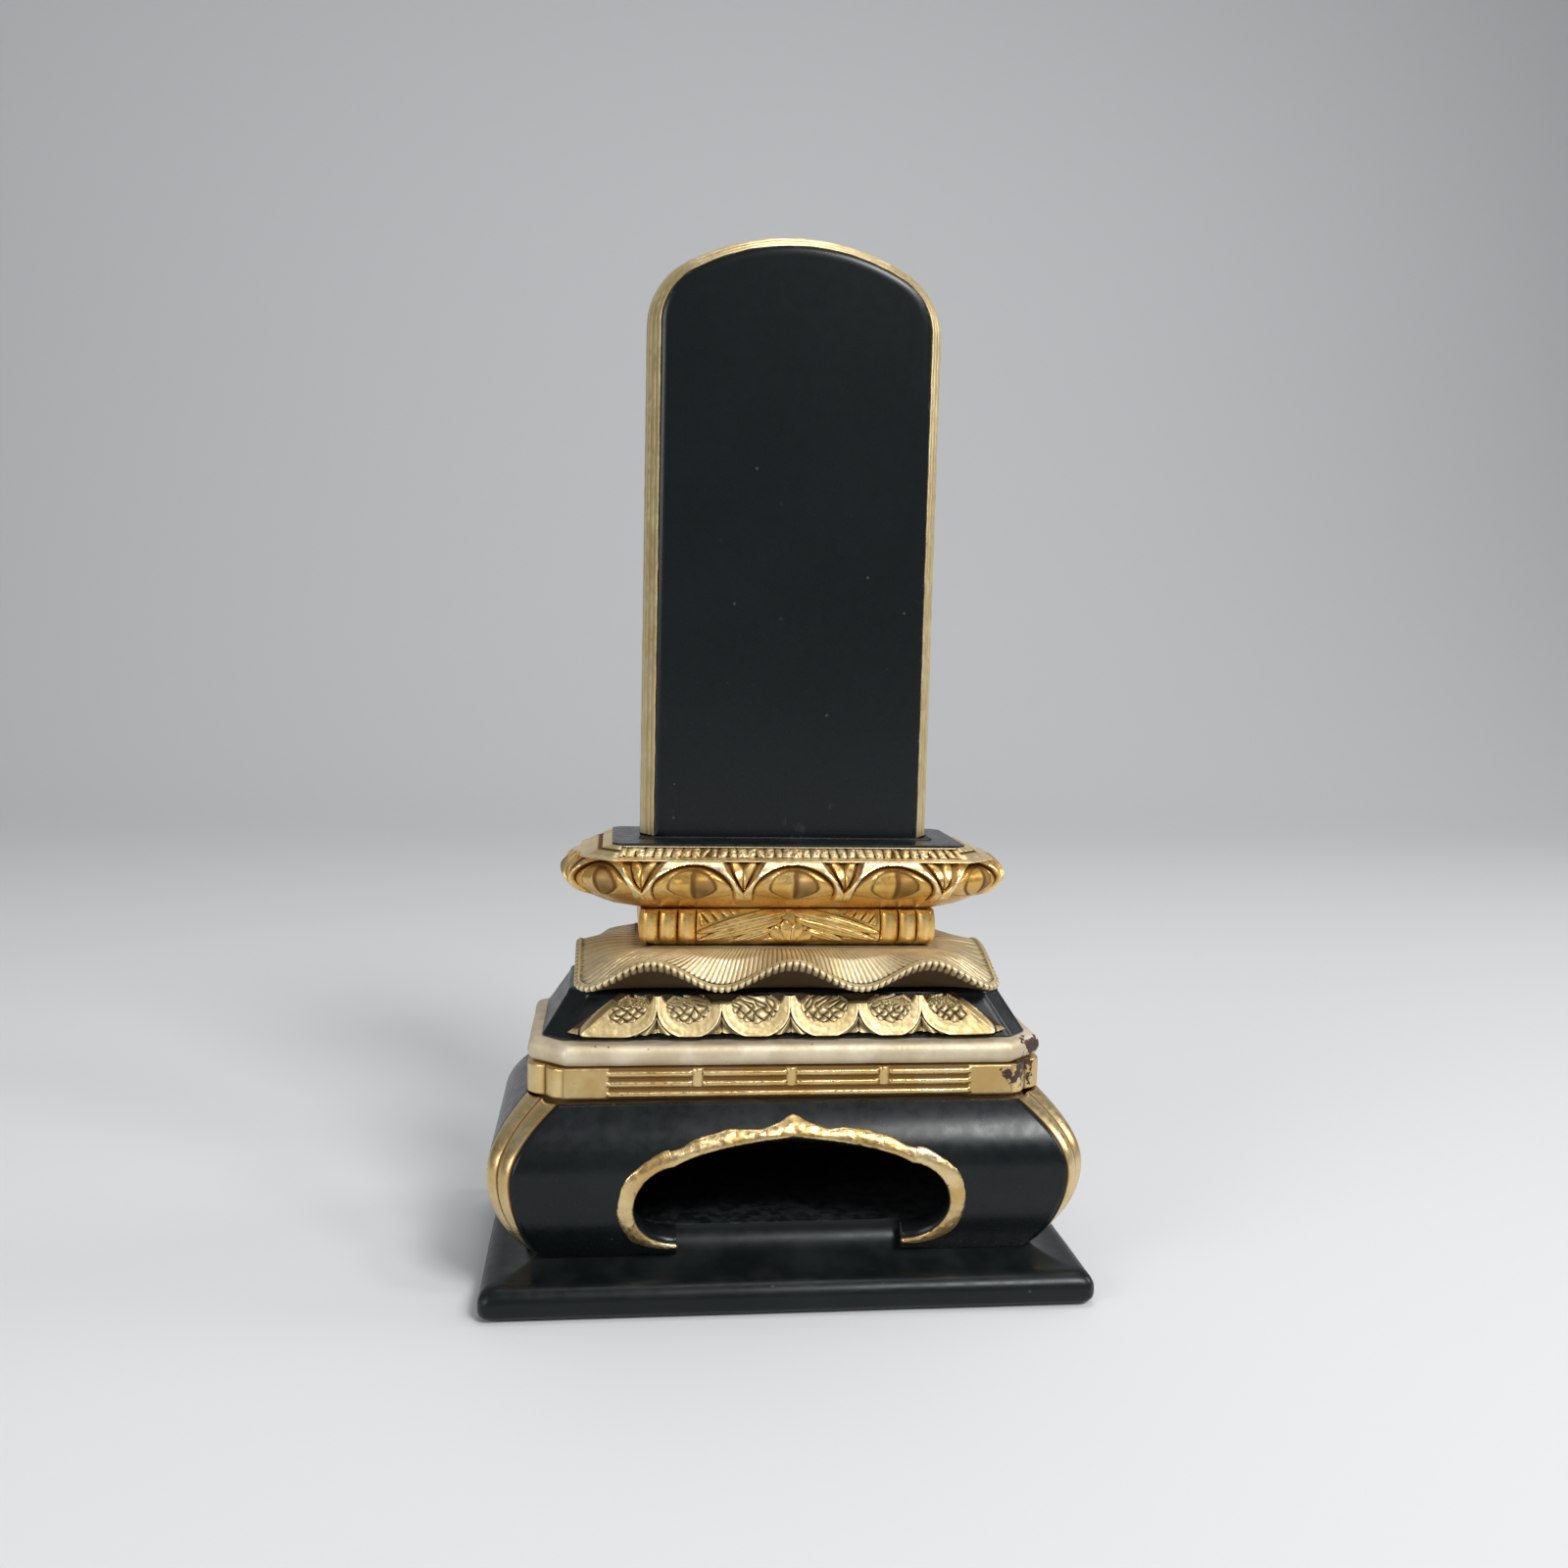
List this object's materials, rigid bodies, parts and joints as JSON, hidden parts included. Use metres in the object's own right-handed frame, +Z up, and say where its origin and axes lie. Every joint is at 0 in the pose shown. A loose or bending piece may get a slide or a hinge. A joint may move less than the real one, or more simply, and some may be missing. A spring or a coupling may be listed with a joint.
{
  "type": "buddhist memorial tablet",
  "caption": "Blank lacquered and gilt memorial tablet on a tiered lotus stand with an arched hollow body; the tablet lifts out of its socket.",
  "frame": {"origin": "centre of the base plate's underside, on the surface it stands on", "axes": "+Z up; the tablet's face looks along -Y; +X to the right as seen from in front"},
  "size_m": [0.1196, 0.069, 0.209],
  "materials": {
    "black_lacquer": "black lacquer on wood, satin",
    "gold_leaf": "gold leaf over lacquered wood, worn on the edges",
    "pale_gold": "pale, matt gold leaf over lacquered wood",
    "bare_wood": "plain softwood, unfinished"
  },
  "bodies": {
    "stand": {"base_plate": "black_lacquer", "body_front_board": "black_lacquer", "body_back_board": "black_lacquer", "body_left_board": "black_lacquer", "body_right_board": "black_lacquer", "corner_post_front_left": "gold_leaf", "corner_post_front_right": "gold_leaf", "corner_post_back_left": "gold_leaf", "corner_post_back_right": "gold_leaf", "glue_block_front_left": "bare_wood", "glue_block_front_right": "bare_wood", "glue_block_back_left": "bare_wood", "glue_block_back_right": "bare_wood", "body_deck": "bare_wood", "step_band": "gold_leaf", "step_moulding": "pale_gold", "step_dowel_left": "bare_wood", "step_dowel_right": "bare_wood", "lotus_core": "black_lacquer", "lower_lotus_panel": "gold_leaf", "leaf_plate": "pale_gold", "core_dowel_left": "bare_wood", "core_dowel_right": "bare_wood", "neck_block": "gold_leaf", "neck_dowel_left": "bare_wood", "neck_dowel_right": "bare_wood", "upper_lotus": "gold_leaf", "stamen_band": "gold_leaf", "seat_cap": "black_lacquer"},
    "tablet": {"tablet": "black_lacquer"}
  },
  "joints": [
    {"name": "tablet_lift", "type": "slide", "parent": "stand", "child": "tablet", "axis": [0, 0, 1], "range_m": [0, 0.03]}
  ]
}
